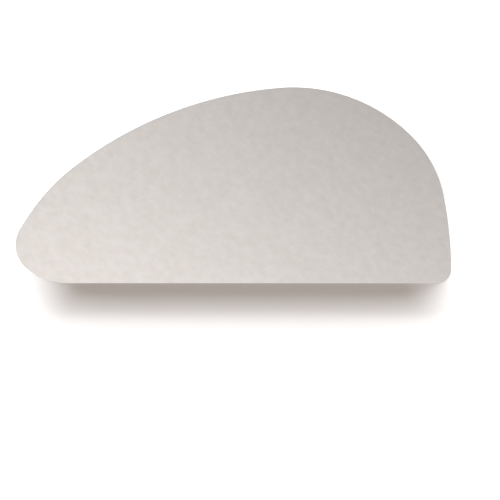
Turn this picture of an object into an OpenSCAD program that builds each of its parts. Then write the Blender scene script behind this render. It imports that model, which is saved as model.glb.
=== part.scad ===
// Potter's steel rib: a flat scraper blanked from one piece of sheet, with a straight edge, a narrow
// round nose and a high round heel. It lies flat, with its origin in the middle of its underside.

/* [Sheet] */
// Length from the tip of the nose to the end of the heel
rib_length = 101.6; // [80:0.1:125]
// Width from the straight edge to the top of the crown
rib_width = 45.72; // [38:0.01:70]
// Thickness of the sheet
sheet_t = 0.5; // [0.35:0.05:2]
// Radius of the rounds along both sides of the edge
edge_r = 0.15; // [0.05:0.01:0.17]

/* [Nose] */
// Radius of the nose
nose_r = 7; // [2:0.1:12]
// Height of the nose's round above the line of the straight edge
nose_lift = 2; // [0.2:0.1:8]
// Radius of the belly, which runs from the nose into the straight edge
belly_r = 14; // [9:0.5:50]
// Angle above level at which the nose runs into the brow
brow_turn = 30; // [5:1:50]

/* [Back] */
// Radius of the crown, the highest stretch of the edge
crown_r = 39; // [33:0.5:100]
// Angle past the top at which the crown runs into the back
crown_turn = 4.5; // [0.5:0.5:18]
// Angle past the top at which the back runs into the brow
back_turn = 37; // [12:0.5:52]

/* [Heel] */
// Radius of the shoulder, between the crown and the heel
shoulder_r = 27; // [8:0.5:32]
// Distance of the shoulder's round below the top of the crown
shoulder_down = 3.6; // [0.5:0.1:8]
// Distance of the shoulder's round from the end of the heel
shoulder_in = 1.2; // [0.2:0.1:4.6]
// Radius of the corner, between the heel and the straight edge
corner_r = 3.2; // [1:0.1:11]

/* [Hidden] */
$fa = 2;
$fs = 0.05;

// Direction at an angle, counted from the end of the heel up over the crown
function at(angle) = [cos(angle), sin(angle)];

// Angle of a direction, from 0 to 360
function bearing(v) = (atan2(v.y, v.x) + 360) % 360;

// Signed area of the parallelogram on two directions
function area(a, b) = a.x * b.y - a.y * b.x;

// Distance along a straight between the centres of two rounds that touch: the larger one lies on the
// straight, the smaller one is a gap off it, and step is the difference of their radii
function run_along(gap, step) = sqrt(gap * (2 * step - gap));

// Rounds placed by their own sizes, with x from the tip of the nose and y from the straight edge
corner_c = [rib_length - corner_r, corner_r];
shoulder_c = [rib_length - shoulder_in - shoulder_r, rib_width - shoulder_down - shoulder_r];
crown_c = [shoulder_c.x - run_along(shoulder_down, crown_r - shoulder_r), rib_width - crown_r];
nose_c = [nose_r, nose_r + nose_lift];
belly_c = [nose_r + run_along(nose_lift, belly_r - nose_r), belly_r];

// Heel, which leaves the corner upright and runs into the shoulder
heel_rise = shoulder_c.y - corner_r;
heel_r = shoulder_r + (shoulder_in ^ 2 + heel_rise ^ 2) / (2 * shoulder_in);
heel_c = [rib_length - heel_r, corner_r];

// Back and brow, whose radii carry the edge from the crown to the nose through their two turns
crown_end = 90 + crown_turn;
back_end = 90 + back_turn;
brow_end = 180 - brow_turn;
span = nose_c + nose_r * at(brow_end) - crown_c - crown_r * at(crown_end);
back_way = at(back_end) - at(crown_end);
brow_way = at(brow_end) - at(back_end);
back_r = area(span, brow_way) / area(back_way, brow_way);
brow_r = area(back_way, span) / area(back_way, brow_way);
back_c = crown_c + (crown_r - back_r) * at(crown_end);
brow_c = back_c + (back_r - brow_r) * at(back_end);

// Joins in line with the centres of the two rounds that meet there
heel_end = bearing(shoulder_c - heel_c);
shoulder_end = bearing(shoulder_c - crown_c);
nose_end = bearing(nose_c - belly_c);

// Rounds of the outline from one end of the straight edge to the other: centre, radius, first and last angle
ROUNDS = [
    [corner_c, corner_r, -90, 0],
    [heel_c, heel_r, 0, heel_end],
    [shoulder_c, shoulder_r, heel_end, shoulder_end],
    [crown_c, crown_r, shoulder_end, crown_end],
    [back_c, back_r, crown_end, back_end],
    [brow_c, brow_r, back_end, brow_end],
    [nose_c, nose_r, brow_end, nose_end],
    [belly_c, belly_r, nose_end, 270],
];

// Distance of the flat middle's corners from the edge
middle_inset = 0.6;
// Depth of the rim at the joins, where it laps onto the flat middle
rim_depth = 0.9;
// Step by which the depth of a rim grows between its joins
depth_step = 0.1;
// Step of the second, finer move when a round is placed
place_step = 0.001;
// Clearance of the cuts between the rims past the fullest round of the outline
cut_clearance = 1;

// How far a round stands out past the straight line between points at its two ends
function fullness(r) = r[1] * (1 / cos((r[3] - r[2]) / 2) - 1);

// Depth of a round's rim that still covers the straight line between the joins at its two ends
function fill_depth(r) = ceil((r[1] - (r[1] - rim_depth) * cos((r[3] - r[2]) / 2)) / depth_step) * depth_step;

// Points at one depth inside the joins of the outline, from one end of the straight edge to the other
function ring(depth) = concat(
    [for (r = ROUNDS) r[0] + (r[1] - depth) * at(r[2])],
    [belly_c + (belly_r - depth) * at(270)]
);

inner_ring = ring(rim_depth);
outer_ring = ring(-cut_clearance - max([for (r = ROUNDS) fullness(r)]));

// Moves a piece by whole millimetres, then finer, then by the rest, so that rounds meet without a step
module place(v) {
    whole = [for (c = v) round(c)];
    fine = [for (c = v - whole) round(c / place_step) * place_step];
    translate(whole)
        translate(fine)
            translate(v - whole - fine)
                children();
}

// Section of the sheet behind its edge, with both corners of the edge rounded
module edge_section(depth) {
    translate([-depth, 0])
        square([depth - edge_r, sheet_t]);
    translate([-depth, edge_r])
        square([depth, sheet_t - 2 * edge_r]);
    for (z = [edge_r, sheet_t - edge_r])
        translate([-edge_r, z])
            circle(edge_r);
}

// Rim along one round of the outline: a ring with that round's edge, cut off at its two joins
module round_rim(i) {
    intersection() {
        place(ROUNDS[i][0])
            rotate_extrude()
                place([ROUNDS[i][1], 0])
                    edge_section(fill_depth(ROUNDS[i]));
        linear_extrude(sheet_t)
            polygon([inner_ring[i], outer_ring[i], outer_ring[i + 1], inner_ring[i + 1]]);
    }
}

// Rim along the straight edge
module straight_rim() {
    translate([belly_c.x, 0, 0])
        rotate([90, 0, 90])
            linear_extrude(corner_c.x - belly_c.x)
                mirror([1, 0])
                    edge_section(rim_depth);
}

// Flat middle of the sheet, under the inner ends of the rims
module flat_middle() {
    linear_extrude(sheet_t)
        polygon(ring(middle_inset));
}

// The whole rib, one blank of satin stainless sheet
module rib_blade() {
    color("#d5cfca")
        translate([-rib_length / 2, -rib_width / 2, 0]) {
            flat_middle();
            straight_rim();
            for (i = [0 : len(ROUNDS) - 1])
                round_rim(i);
        }
}

rib_blade();
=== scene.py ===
"""Potter's rib of satin stainless sheet: its finish, and a plain white studio around it.

Laid out as an add-on and run as a script. Lengths are in metres, and MM is one millimetre.
"""

import math

import bmesh
import bpy
from bpy.props import FloatProperty, FloatVectorProperty, IntProperty, PointerProperty
from mathutils import Matrix, Vector


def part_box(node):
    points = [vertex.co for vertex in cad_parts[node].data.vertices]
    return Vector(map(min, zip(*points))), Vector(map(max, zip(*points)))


bl_info = {
    "name": "Potter's Rib",
    "version": (1, 0, 0),
    "blender": (4, 5, 0),
    "location": "3D View > Sidebar > Rib",
    "description": "Finishes a potter's steel rib and sets it in a plain white studio",
    "category": "Object",
}

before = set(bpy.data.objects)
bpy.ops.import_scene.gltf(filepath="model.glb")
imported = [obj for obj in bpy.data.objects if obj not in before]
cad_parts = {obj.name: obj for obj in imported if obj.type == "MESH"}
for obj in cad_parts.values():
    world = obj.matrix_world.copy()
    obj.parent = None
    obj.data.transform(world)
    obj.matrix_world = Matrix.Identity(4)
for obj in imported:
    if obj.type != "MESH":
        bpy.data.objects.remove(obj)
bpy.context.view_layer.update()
SHEET_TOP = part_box("rib_blade")[1].z
MM = 0.001
# Gap under the rib, so that its underside and the floor don't lie in one plane
FLOOR_GAP = 0.02 * MM
# Nearest distance that the camera shows
NEAREST = 10 * MM


def linear(code):
    """Linear colour with alpha of an sRGB hex value."""
    shares = [int(code[i:i + 2], 16) / 255 for i in (1, 3, 5)]
    return *(s / 12.92 if s <= 0.04045 else ((s + 0.055) / 1.055) ** 2.4 for s in shares), 1.0


def add(tree, kind, links=(), **settings):
    """Adds a node, sets its fields, and fills its sockets with values or other nodes' outputs."""
    node = tree.nodes.new(kind)
    for field, value in settings.items():
        setattr(node, field, value)
    for socket, value in dict(links).items():
        if isinstance(value, bpy.types.NodeSocket):
            tree.links.new(value, node.inputs[socket])
        else:
            node.inputs[socket].default_value = value
    return node


def new_material(name):
    """An empty material with nodes, and its tree."""
    material = bpy.data.materials.new(name)
    material.use_nodes = True
    material.node_tree.nodes.clear()
    return material, material.node_tree


def stage_piece(name, form, material):
    """Turns a bmesh into a piece of the stage."""
    mesh = bpy.data.meshes.new(name)
    form.to_mesh(mesh)
    form.free()
    mesh.materials.append(material)
    piece = bpy.data.objects.new(name, mesh)
    bpy.context.scene.collection.objects.link(piece)
    return piece


def level_square(half, height):
    """A level square round the middle of the scene."""
    form = bmesh.new()
    bmesh.ops.create_grid(form, x_segments=1, y_segments=1, size=half)
    bmesh.ops.translate(form, verts=form.verts, vec=(0, 0, height))
    return form


def floor_lamp(lamp, studio, floor_alone, place):
    """Sets a lamp that lights the floor alone, while the rib still throws its shadow there.

    The lamp comes with its energy for a white floor and white light, and gets more for their
    real colours.
    """
    lamp.color = studio.daylight[:3]
    lamp.energy /= studio.floor[1] * studio.daylight[1]
    holder = bpy.data.objects.new(lamp.name, lamp)
    holder.matrix_world = place
    holder.light_linking.receiver_collection = floor_alone
    bpy.context.scene.collection.objects.link(holder)


class RibFinish(bpy.types.PropertyGroup):
    """What the sheet looks like."""
    crest: FloatVectorProperty(
        name="Crests", description="Colour on the crests of the satin", subtype="COLOR", size=4,
        min=0, max=1, default=linear("#d8d3d0"))
    hollow: FloatVectorProperty(
        name="Hollows", description="Colour in the hollows of the satin", subtype="COLOR", size=4,
        min=0, max=1, default=linear("#cac3be"))
    rubbed: FloatVectorProperty(
        name="Rubbed edge", description="Colour of the edge, which is rubbed bright",
        subtype="COLOR", size=4, min=0, max=1, default=linear("#dcd7d3"))
    roughness: FloatProperty(
        name="Roughness", description="Roughness of the satin", subtype="FACTOR",
        min=0, max=1, default=0.45)
    roughness_swing: FloatProperty(
        name="Roughness swing",
        description="How much rougher the hollows are, and smoother the crests",
        subtype="FACTOR", min=0, max=1, default=0.08)
    edge_roughness: FloatProperty(
        name="Edge roughness", description="Roughness of the rubbed edge", subtype="FACTOR",
        min=0, max=1, default=0.3)
    edge_depth: FloatVectorProperty(
        name="Edge depth",
        description="Depth under a face where the rub starts, and where it is full",
        unit="LENGTH", size=2, min=0, default=(0.001 * MM, 0.03 * MM))
    mottle: FloatVectorProperty(
        name="Mottle", description="Length and width of one patch left by the tumbling stones",
        unit="LENGTH", size=2, min=0.1 * MM, default=(1.95 * MM, 1.5 * MM))
    streak: FloatVectorProperty(
        name="Streak", description="Length and width of one rolling streak", unit="LENGTH", size=2,
        min=0.01 * MM, default=(6 * MM, 0.4 * MM))
    lay: FloatProperty(
        name="Lay", description="Direction of the rolling from the straight edge", subtype="ANGLE",
        default=math.radians(-26))
    grain: FloatProperty(
        name="Grain", description="Width of one peak of the grain", unit="LENGTH",
        min=0.01 * MM, default=0.2 * MM)
    hairline: FloatVectorProperty(
        name="Hairline", description="Length and width of one fine scratch", unit="LENGTH", size=2,
        min=0.01 * MM, default=(3 * MM, 0.12 * MM))
    hairline_turns: FloatVectorProperty(
        name="Hairline turns",
        description="Directions of three sets of scratches from the straight edge",
        unit="ROTATION", size=3, default=(0.1, 1.2, 2.3))
    hairline_cut: FloatVectorProperty(
        name="Hairline cut",
        description="Level of the noise where a scratch starts, and where it is full",
        size=2, min=0, max=1, default=(0.62, 0.75))
    base_share: FloatProperty(
        name="Base share", description="Height of the satin before its patterns are added",
        default=-0.15)
    mottle_share: FloatProperty(
        name="Mottle share", description="Share of the patches in the height of the satin",
        subtype="FACTOR", min=0, max=1, default=0.8)
    streak_share: FloatProperty(
        name="Streak share", description="Share of the streaks in the height of the satin",
        subtype="FACTOR", min=0, max=1, default=0.2)
    grain_share: FloatProperty(
        name="Grain share", description="Share of the grain in the height of the satin",
        subtype="FACTOR", min=0, max=1, default=0.25)
    hairline_share: FloatProperty(
        name="Hairline share", description="Share of the scratches in the height of the satin",
        subtype="FACTOR", min=0, max=1, default=0.2)
    depth: FloatProperty(
        name="Depth", description="Depth of the satin from crest to hollow", unit="LENGTH",
        min=0, default=0.006 * MM)


class RibStudio(bpy.types.PropertyGroup):
    """The floor, the light and the camera."""
    floor: FloatVectorProperty(
        name="Floor", description="Colour of the floor", subtype="COLOR", size=4, min=0, max=1,
        default=linear("#f3f1ef"))
    floor_half: FloatProperty(
        name="Floor half", description="Half the width of the floor", unit="LENGTH", default=0.6)
    floor_seen: FloatProperty(
        name="Floor seen", description="Light of the floor as the steel sees it", min=0,
        default=0.8)
    daylight: FloatVectorProperty(
        name="Daylight", description="Colour of the lamps on the floor", subtype="COLOR", size=4,
        min=0, max=1, default=linear("#f5faff"))
    room: FloatVectorProperty(
        name="Room light", description="Colour of the light in the shadow", subtype="COLOR",
        size=4, min=0, max=1, default=linear("#fff2ea"))
    room_level: FloatProperty(
        name="Room level", description="Light of the room on the floor", min=0, default=0.443)
    room_seen: FloatProperty(
        name="Room seen", description="Light of the room level with the rib, as the steel sees it",
        min=0, default=0.6)
    room_slope: FloatVectorProperty(
        name="Room slope",
        description="Change of the light that the steel sees towards +X, +Y and +Z",
        size=3, default=(-0.14, -0.26, 0.45))
    silk_height: FloatProperty(
        name="Silk height", description="Height of the lit silk over the rib", unit="LENGTH",
        default=0.25)
    silk_half: FloatProperty(
        name="Silk half", description="Half the width of the lit silk", unit="LENGTH", default=0.2)
    silk_level: FloatProperty(
        name="Silk level", description="Light of the silk over the middle of the rib", min=0,
        default=1.128)
    silk_slope: FloatVectorProperty(
        name="Silk slope", description="Change of the silk's light over a metre", size=2,
        default=(-2.25, -3.85))
    skim_lamps: IntProperty(
        name="Skim lamps",
        description="Number of long low lamps, side by side in a ring behind the rib",
        min=1, default=5)
    skim_away: FloatProperty(
        name="Skim distance", description="Distance of the low lamps from the rib", unit="LENGTH",
        default=6.0)
    skim_span: FloatProperty(
        name="Skim span", description="Half the spread of the low lamps", subtype="ANGLE",
        default=math.radians(76.7))
    skim_top: FloatProperty(
        name="Skim top", description="Angle of the low lamps' top above level", subtype="ANGLE",
        default=math.radians(4))
    skim_level: FloatProperty(
        name="Skim level", description="Light of the low lamps on the open floor", min=0,
        default=0.95)
    spot_past: FloatProperty(
        name="Spots past the ends",
        description="Distance of the two spots past the nose and the heel",
        unit="LENGTH", default=8 * MM)
    spot_up: FloatProperty(
        name="Spots from the edge",
        description="Distance of the two spots behind the straight edge",
        unit="LENGTH", default=7 * MM)
    spot_height: FloatProperty(
        name="Spot height", description="Height of the two spots over the floor", unit="LENGTH",
        default=0.2)
    spot_reach: FloatVectorProperty(
        name="Spot reach",
        description="Radius of the pool of light past the nose and past the heel",
        unit="LENGTH", size=2, default=(25 * MM, 21.3 * MM))
    spot_level: FloatVectorProperty(
        name="Spot level", description="Light of the spots past the nose and past the heel",
        size=2, min=0, default=(0.516, 0.3))
    view: FloatProperty(
        name="View", description="Width of the view at the rib", unit="LENGTH",
        default=116.55 * MM)
    lens: FloatProperty(
        name="Lens", description="Focal length of the camera", unit="CAMERA", default=60)
    aim: FloatVectorProperty(
        name="Aim", description="Middle of the view from the middle of the rib", size=2,
        unit="LENGTH", default=(3.9 * MM, -15.1 * MM))


def satin_stainless(finish):
    """Stainless sheet, cold rolled and then tumbled with fine stones: pale, a bit warm, and matt.

    The tumbling leaves a fine even satin that blurs all reflections, with soft patches one or two
    millimetres wide and sparse hairlines that cross. Under it the rolling still shows as faint
    slanting streaks. The rounded edge is rubbed brighter and smoother than the faces. The real
    grain is about 0.05 mm wide and the real hairlines about 0.02 mm, too fine to show, so both
    are drawn coarser.
    """
    material, tree = new_material("satin_stainless")
    place = add(tree, "ShaderNodeTexCoord")
    tumbled = add(tree, "ShaderNodeMapping", {
        "Vector": place.outputs["Object"], "Rotation": (0, 0, finish.lay),
        "Scale": (*finish.mottle, finish.mottle[1])}, vector_type="TEXTURE")
    mottle = add(tree, "ShaderNodeTexNoise", {
        "Vector": tumbled.outputs["Vector"], "Scale": 1.0, "Detail": 2.0, "Roughness": 0.55})
    rolled = add(tree, "ShaderNodeMapping", {
        "Vector": place.outputs["Object"], "Rotation": (0, 0, finish.lay),
        "Scale": (*finish.streak, finish.streak[1])}, vector_type="TEXTURE")
    streak = add(tree, "ShaderNodeTexNoise", {
        "Vector": rolled.outputs["Vector"], "Scale": 1.0, "Detail": 1.0})
    grain = add(tree, "ShaderNodeTexNoise", {
        "Vector": place.outputs["Object"], "Scale": 1 / finish.grain, "Detail": 1.0})

    # Sparse hairlines that cross, one set for each of the ways the stones rubbed
    scratched = 0.0
    for turn in finish.hairline_turns:
        scraped = add(tree, "ShaderNodeMapping", {
            "Vector": place.outputs["Object"], "Rotation": (0, 0, turn),
            "Scale": (*finish.hairline, finish.hairline[1])}, vector_type="TEXTURE")
        lines = add(tree, "ShaderNodeTexNoise", {
            "Vector": scraped.outputs["Vector"], "Scale": 1.0, "Detail": 1.0})
        cut = add(tree, "ShaderNodeMapRange", {
            "Value": lines.outputs[0], "From Min": finish.hairline_cut[0],
            "From Max": finish.hairline_cut[1]}, interpolation_type="SMOOTHSTEP")
        both = add(tree, "ShaderNodeMath", {0: scratched, 1: cut.outputs[0]}, operation="MAXIMUM")
        scratched = both.outputs[0]

    # Height of the satin, from 0 in the hollows to 1 on the crests
    patches = add(tree, "ShaderNodeMath", {
        0: mottle.outputs[0], 1: finish.mottle_share, 2: finish.base_share},
        operation="MULTIPLY_ADD")
    streaks = add(tree, "ShaderNodeMath", {
        0: streak.outputs[0], 1: finish.streak_share, 2: patches.outputs[0]},
        operation="MULTIPLY_ADD")
    grains = add(tree, "ShaderNodeMath", {
        0: grain.outputs[0], 1: finish.grain_share, 2: streaks.outputs[0]},
        operation="MULTIPLY_ADD")
    height = add(tree, "ShaderNodeMath", {
        0: scratched, 1: finish.hairline_share, 2: grains.outputs[0]},
        operation="MULTIPLY_ADD", use_clamp=True)
    face = add(tree, "ShaderNodeMix", {
        0: height.outputs[0], 6: finish.hollow, 7: finish.crest}, data_type="RGBA")
    satin = add(tree, "ShaderNodeMapRange", {
        "Value": height.outputs[0], "To Min": finish.roughness + finish.roughness_swing,
        "To Max": finish.roughness - finish.roughness_swing})

    # The rounded edge, which is all of the surface that lies between the two faces
    point = add(tree, "ShaderNodeSeparateXYZ", {0: place.outputs["Object"]})
    level = add(tree, "ShaderNodeMath", {
        0: point.outputs["Z"], 1: SHEET_TOP / 2}, operation="SUBTRACT")
    reach = add(tree, "ShaderNodeMath", {0: level.outputs[0]}, operation="ABSOLUTE")
    edge = add(tree, "ShaderNodeMapRange", {
        "Value": reach.outputs[0], "From Min": SHEET_TOP / 2 - finish.edge_depth[0],
        "From Max": SHEET_TOP / 2 - finish.edge_depth[1]})
    colour = add(tree, "ShaderNodeMix", {
        0: edge.outputs[0], 6: face.outputs[2], 7: finish.rubbed}, data_type="RGBA")
    roughness = add(tree, "ShaderNodeMix", {
        0: edge.outputs[0], 2: satin.outputs[0], 3: finish.edge_roughness})

    bump = add(tree, "ShaderNodeBump", {"Height": height.outputs[0], "Distance": finish.depth})
    steel = add(tree, "ShaderNodeBsdfPrincipled", {
        "Base Color": colour.outputs[2], "Metallic": 1.0, "Roughness": roughness.outputs[0],
        "Normal": bump.outputs[0]})
    add(tree, "ShaderNodeOutputMaterial", {"Surface": steel.outputs[0]})
    return material


def matt_white_board(studio):
    """White board with a matt face: it takes the shadow, and the steel sees it as plain board."""
    material, tree = new_material("matt_white_board")
    ray = add(tree, "ShaderNodeLightPath")
    board = add(tree, "ShaderNodeBsdfDiffuse", {"Color": studio.floor})
    plain = add(tree, "ShaderNodeEmission", {"Color": studio.floor, "Strength": studio.floor_seen})
    both = add(tree, "ShaderNodeMixShader", {
        0: ray.outputs["Is Glossy Ray"], 1: board.outputs[0], 2: plain.outputs[0]})
    add(tree, "ShaderNodeOutputMaterial", {"Surface": both.outputs[0]})
    material.cycles.emission_sampling = "NONE"
    return material


def lit_silk(studio):
    """White silk lit from behind, brightest towards the nose and the straight edge."""
    material, tree = new_material("lit_silk")
    place = add(tree, "ShaderNodeTexCoord")
    along = add(tree, "ShaderNodeVectorMath", {
        0: place.outputs["Object"], 1: (*studio.silk_slope, 0)}, operation="DOT_PRODUCT")
    level = add(tree, "ShaderNodeMath", {
        0: along.outputs["Value"], 1: studio.silk_level}, operation="ADD")
    glow = add(tree, "ShaderNodeEmission", {"Strength": level.outputs[0]})
    add(tree, "ShaderNodeOutputMaterial", {"Surface": glow.outputs[0]})
    material.cycles.emission_sampling = "NONE"
    return material


def white_studio(studio):
    """White all round. The steel sees it a little darker low down and behind the crown."""
    world = bpy.data.worlds.new("white_studio")
    world.use_nodes = True
    world.cycles.sampling_method = "NONE"
    tree = world.node_tree
    tree.nodes.clear()
    ray = add(tree, "ShaderNodeLightPath")
    way = add(tree, "ShaderNodeTexCoord")
    along = add(tree, "ShaderNodeVectorMath", {
        0: way.outputs["Generated"], 1: studio.room_slope}, operation="DOT_PRODUCT")
    shade = add(tree, "ShaderNodeMath", {
        0: along.outputs["Value"], 1: studio.room_seen}, operation="ADD")
    room = add(tree, "ShaderNodeBackground", {"Color": studio.room, "Strength": studio.room_level})
    shaded = add(tree, "ShaderNodeBackground", {
        "Color": (1, 1, 1, 1), "Strength": shade.outputs[0]})
    white = add(tree, "ShaderNodeBackground", {"Color": (1, 1, 1, 1), "Strength": 1.0})
    seen = add(tree, "ShaderNodeMath", {
        0: ray.outputs["Is Glossy Ray"], 1: ray.outputs["Is Transmission Ray"]},
        operation="MAXIMUM")
    mirrored = add(tree, "ShaderNodeMixShader", {
        0: seen.outputs[0], 1: room.outputs[0], 2: shaded.outputs[0]})
    whole = add(tree, "ShaderNodeMixShader", {
        0: ray.outputs["Is Camera Ray"], 1: mirrored.outputs[0], 2: white.outputs[0]})
    add(tree, "ShaderNodeOutputWorld", {"Surface": whole.outputs[0]})
    return world


class RIB_OT_finish_blade(bpy.types.Operator):
    """Give the rib its satin steel"""
    bl_idname = "rib.finish_blade"
    bl_label = "Finish the blade"

    def execute(self, context):
        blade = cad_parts["rib_blade"]
        blade.material_slots[0].material = satin_stainless(context.scene.rib_finish)
        return {"FINISHED"}


class RIB_OT_set_studio(bpy.types.Operator):
    """Lay the floor and set the light and the camera"""
    bl_idname = "rib.set_studio"
    bl_label = "Set the studio"

    def execute(self, context):
        scene, studio = context.scene, context.scene.rib_studio
        scene.view_settings.view_transform = "Standard"
        scene.world = white_studio(studio)

        board = level_square(studio.floor_half, -FLOOR_GAP)
        floor = stage_piece("floor", board, matt_white_board(studio))
        cloth = level_square(studio.silk_half, studio.silk_height)
        silk = stage_piece("silk", cloth, lit_silk(studio))
        silk.visible_camera = silk.visible_diffuse = silk.visible_shadow = False

        # Long lamps side by side skim the floor, so that a soft shadow falls off the straight edge
        floor_alone = bpy.data.collections.new("floor_alone")
        floor_alone.objects.link(floor)
        step = studio.skim_span / studio.skim_lamps
        glow = studio.skim_level * math.pi / (studio.skim_span * math.sin(studio.skim_top) ** 2)
        for i in range(studio.skim_lamps):
            lamp = bpy.data.lights.new(f"skim_{i}", "AREA")
            lamp.shape = "RECTANGLE"
            lamp.size = 2 * studio.skim_away * math.tan(step)
            lamp.size_y = studio.skim_away * math.tan(studio.skim_top)
            lamp.energy = glow * math.pi * lamp.size * lamp.size_y
            upright = Matrix.Rotation(-math.pi / 2, 4, "X")
            away = Matrix.Translation((0, studio.skim_away, lamp.size_y / 2))
            turn = Matrix.Rotation((2 * i + 1) * step - studio.skim_span, 4, "Z")
            floor_lamp(lamp, studio, floor_alone, turn @ away @ upright)

        # Soft spots past the nose and the heel, where the shadow fades out
        low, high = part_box("rib_blade")
        ends = {"nose_spot": low.x - studio.spot_past, "heel_spot": high.x + studio.spot_past}
        for (name, x), reach, level in zip(ends.items(), studio.spot_reach, studio.spot_level):
            lamp = bpy.data.lights.new(name, "SPOT")
            lamp.spot_size = 2 * math.atan(reach / studio.spot_height)
            lamp.spot_blend = 1.0
            lamp.shadow_soft_size = 0.0
            lamp.energy = level * (2 * math.pi * studio.spot_height) ** 2
            place = Matrix.Translation((x, low.y + studio.spot_up, studio.spot_height))
            floor_lamp(lamp, studio, floor_alone, place)

        camera = bpy.data.objects.new("camera", bpy.data.cameras.new("camera"))
        camera.data.lens = studio.lens
        camera.data.clip_start = NEAREST
        back = studio.view * camera.data.lens / camera.data.sensor_width
        camera.location = Vector((*studio.aim, SHEET_TOP + back))
        scene.collection.objects.link(camera)
        scene.camera = camera
        return {"FINISHED"}


class RIB_PT_sidebar(bpy.types.Panel):
    """The rib's settings and steps"""
    bl_idname = "RIB_PT_sidebar"
    bl_label = "Potter's Rib"
    bl_space_type = "VIEW_3D"
    bl_region_type = "UI"
    bl_category = "Rib"

    def draw(self, context):
        for settings, step in ((context.scene.rib_finish, RIB_OT_finish_blade),
                               (context.scene.rib_studio, RIB_OT_set_studio)):
            box = self.layout.box()
            for name in settings.__annotations__:
                box.prop(settings, name)
            box.operator(step.bl_idname)


CLASSES = (RibFinish, RibStudio, RIB_OT_finish_blade, RIB_OT_set_studio, RIB_PT_sidebar)


def register():
    for item in CLASSES:
        bpy.utils.register_class(item)
    bpy.types.Scene.rib_finish = PointerProperty(type=RibFinish)
    bpy.types.Scene.rib_studio = PointerProperty(type=RibStudio)


def unregister():
    del bpy.types.Scene.rib_studio
    del bpy.types.Scene.rib_finish
    for item in reversed(CLASSES):
        bpy.utils.unregister_class(item)


def main():
    register()
    bpy.ops.rib.finish_blade()
    bpy.ops.rib.set_studio()


if __name__ == "__main__":
    main()
